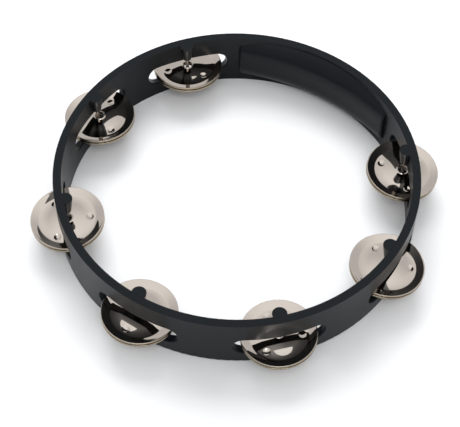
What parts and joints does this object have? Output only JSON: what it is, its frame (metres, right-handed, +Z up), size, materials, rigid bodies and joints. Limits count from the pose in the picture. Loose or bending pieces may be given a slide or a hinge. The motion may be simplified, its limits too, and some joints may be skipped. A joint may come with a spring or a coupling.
{
  "type": "tambourine",
  "caption": "Headless ring tambourine: moulded plastic frame with a swollen grip, slots through the wall, and pairs of loose metal jingles on upright pins.",
  "frame": {"origin": "on the ring's axis, in the plane its bottom edge rests on", "axes": "+Z up along the ring's axis, +Y from the axis through the middle of the grip, +X to the right"},
  "size_m": [0.2911, 0.2734, 0.0445],
  "materials": {
    "frame_plastic": "satin black moulded plastic",
    "jingle_nickel": "bright nickel plate, warm",
    "pin_steel": "drawn wire, dull"
  },
  "bodies": {
    "frame": {"frame": "frame_plastic"},
    "pin_1": {"pin_1": "pin_steel"},
    "lower_jingle_1": {"lower_jingle_1": "jingle_nickel"},
    "upper_jingle_1": {"upper_jingle_1": "jingle_nickel"},
    "pin_2": {"pin_2": "pin_steel"},
    "lower_jingle_2": {"lower_jingle_2": "jingle_nickel"},
    "upper_jingle_2": {"upper_jingle_2": "jingle_nickel"},
    "pin_3": {"pin_3": "pin_steel"},
    "lower_jingle_3": {"lower_jingle_3": "jingle_nickel"},
    "upper_jingle_3": {"upper_jingle_3": "jingle_nickel"},
    "pin_4": {"pin_4": "pin_steel"},
    "lower_jingle_4": {"lower_jingle_4": "jingle_nickel"},
    "upper_jingle_4": {"upper_jingle_4": "jingle_nickel"},
    "pin_5": {"pin_5": "pin_steel"},
    "lower_jingle_5": {"lower_jingle_5": "jingle_nickel"},
    "upper_jingle_5": {"upper_jingle_5": "jingle_nickel"},
    "pin_6": {"pin_6": "pin_steel"},
    "lower_jingle_6": {"lower_jingle_6": "jingle_nickel"},
    "upper_jingle_6": {"upper_jingle_6": "jingle_nickel"},
    "pin_7": {"pin_7": "pin_steel"},
    "lower_jingle_7": {"lower_jingle_7": "jingle_nickel"},
    "upper_jingle_7": {"upper_jingle_7": "jingle_nickel"}
  },
  "joints": [
    {"name": "spin_1", "type": "hinge", "parent": "frame", "child": "pin_1", "pos_m": [-0.09177, 0.07701, 0.021], "axis": [0, 0, 1], "continuous": true},
    {"name": "lower_lift_1", "type": "slide", "parent": "pin_1", "child": "lower_jingle_1", "axis": [0, 0, 1], "range_m": [0, 0.0005]},
    {"name": "upper_lift_1", "type": "slide", "parent": "lower_jingle_1", "child": "upper_jingle_1", "axis": [0, 0, 1], "range_m": [0, 0.0007]},
    {"name": "spin_2", "type": "hinge", "parent": "frame", "child": "pin_2", "pos_m": [-0.1198, 0, 0.021], "axis": [0, 0, 1], "continuous": true},
    {"name": "lower_lift_2", "type": "slide", "parent": "pin_2", "child": "lower_jingle_2", "axis": [0, 0, 1], "range_m": [0, 0.0005]},
    {"name": "upper_lift_2", "type": "slide", "parent": "lower_jingle_2", "child": "upper_jingle_2", "axis": [0, 0, 1], "range_m": [0, 0.0007]},
    {"name": "spin_3", "type": "hinge", "parent": "frame", "child": "pin_3", "pos_m": [-0.08471, -0.08471, 0.021], "axis": [0, 0, 1], "continuous": true},
    {"name": "lower_lift_3", "type": "slide", "parent": "pin_3", "child": "lower_jingle_3", "axis": [0, 0, 1], "range_m": [0, 0.0005]},
    {"name": "upper_lift_3", "type": "slide", "parent": "lower_jingle_3", "child": "upper_jingle_3", "axis": [0, 0, 1], "range_m": [0, 0.0007]},
    {"name": "spin_4", "type": "hinge", "parent": "frame", "child": "pin_4", "pos_m": [0, -0.1198, 0.021], "axis": [0, 0, 1], "continuous": true},
    {"name": "lower_lift_4", "type": "slide", "parent": "pin_4", "child": "lower_jingle_4", "axis": [0, 0, 1], "range_m": [0, 0.0005]},
    {"name": "upper_lift_4", "type": "slide", "parent": "lower_jingle_4", "child": "upper_jingle_4", "axis": [0, 0, 1], "range_m": [0, 0.0007]},
    {"name": "spin_5", "type": "hinge", "parent": "frame", "child": "pin_5", "pos_m": [0.08471, -0.08471, 0.021], "axis": [0, 0, 1], "continuous": true},
    {"name": "lower_lift_5", "type": "slide", "parent": "pin_5", "child": "lower_jingle_5", "axis": [0, 0, 1], "range_m": [0, 0.0005]},
    {"name": "upper_lift_5", "type": "slide", "parent": "lower_jingle_5", "child": "upper_jingle_5", "axis": [0, 0, 1], "range_m": [0, 0.0007]},
    {"name": "spin_6", "type": "hinge", "parent": "frame", "child": "pin_6", "pos_m": [0.1198, 0, 0.021], "axis": [0, 0, 1], "continuous": true},
    {"name": "lower_lift_6", "type": "slide", "parent": "pin_6", "child": "lower_jingle_6", "axis": [0, 0, 1], "range_m": [0, 0.0005]},
    {"name": "upper_lift_6", "type": "slide", "parent": "lower_jingle_6", "child": "upper_jingle_6", "axis": [0, 0, 1], "range_m": [0, 0.0007]},
    {"name": "spin_7", "type": "hinge", "parent": "frame", "child": "pin_7", "pos_m": [0.09177, 0.07701, 0.021], "axis": [0, 0, 1], "continuous": true},
    {"name": "lower_lift_7", "type": "slide", "parent": "pin_7", "child": "lower_jingle_7", "axis": [0, 0, 1], "range_m": [0, 0.0005]},
    {"name": "upper_lift_7", "type": "slide", "parent": "lower_jingle_7", "child": "upper_jingle_7", "axis": [0, 0, 1], "range_m": [0, 0.0007]}
  ]
}
